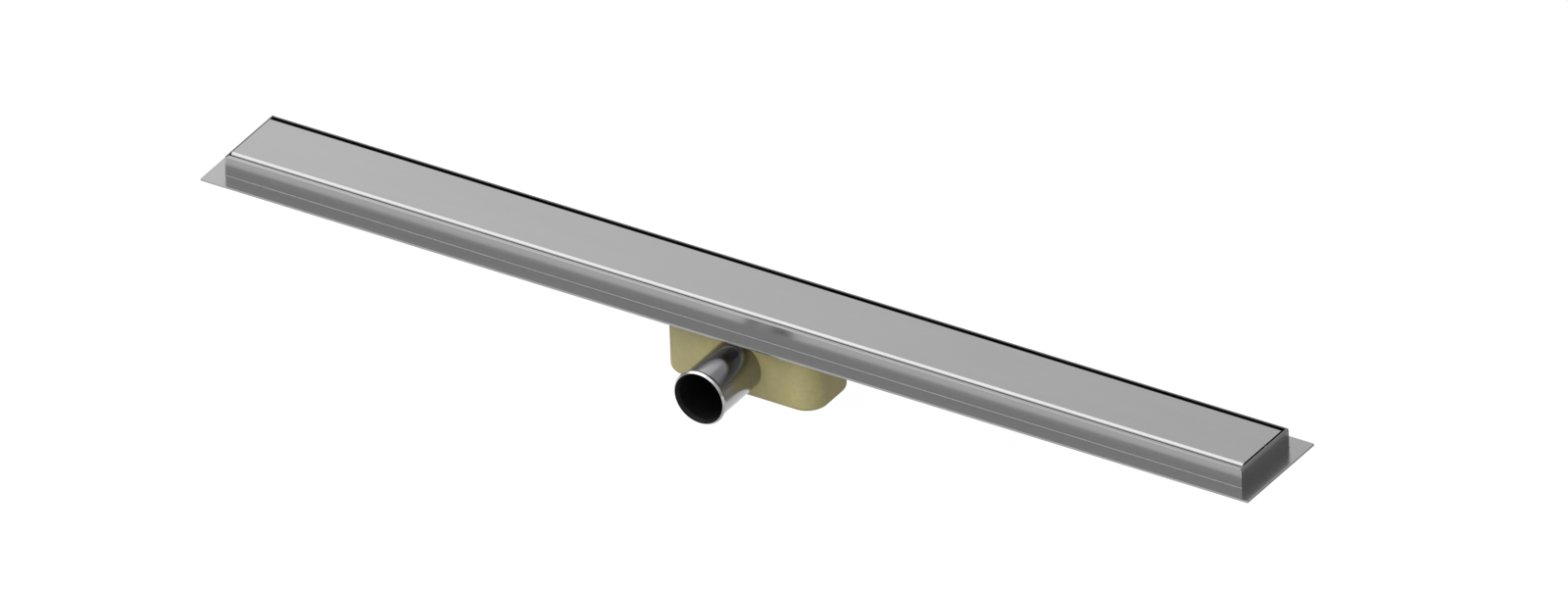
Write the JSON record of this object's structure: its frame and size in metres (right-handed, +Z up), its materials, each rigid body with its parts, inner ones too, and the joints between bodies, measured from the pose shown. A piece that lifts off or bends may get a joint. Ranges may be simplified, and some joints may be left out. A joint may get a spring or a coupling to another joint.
{
  "type": "linear shower drain",
  "caption": "Linear shower drain: folded stainless channel with a flat bonding flange, closed cover plate, coated trap box under the middle and a round side outlet.",
  "frame": {"origin": "middle of the trap box's flat underside, which is the lowest face of the drain", "axes": "+X along the channel, +Y across it away from the outlet pipe, +Z up through the cover"},
  "size_m": [0.9276, 0.1329, 0.0752],
  "materials": {
    "channel_steel": "fine satin",
    "cover_steel": "fine satin",
    "pipe_steel": "polished",
    "inner_steel": "mill",
    "trap_coating": "matt, fine speckle",
    "insert_plastic": "moulded",
    "pad_rubber": "matt",
    "seal_rubber": "matt"
  },
  "bodies": {
    "root": {"channel_floor": "channel_steel", "channel_wall_front": "channel_steel", "channel_wall_back": "channel_steel", "wall_strip": "channel_steel", "end_plate_left": "channel_steel", "end_plate_right": "channel_steel", "flange_frame": "channel_steel", "cover_plate": "cover_steel", "cover_leg_front": "cover_steel", "cover_leg_back": "cover_steel", "outlet_pipe": "pipe_steel", "trap_box": "trap_coating", "cover_support_1": "inner_steel", "support_pad_1": "pad_rubber", "cover_support_2": "inner_steel", "support_pad_2": "pad_rubber", "cover_support_3": "inner_steel", "support_pad_3": "pad_rubber", "cover_support_4": "inner_steel", "support_pad_4": "pad_rubber", "cover_support_5": "inner_steel", "support_pad_5": "pad_rubber", "cover_support_6": "inner_steel", "support_pad_6": "pad_rubber", "hair_sieve": "inner_steel", "sieve_handle": "inner_steel", "dip_tube": "insert_plastic", "trap_cup": "insert_plastic", "dip_tube_seal": "seal_rubber"}
  },
  "joints": []
}
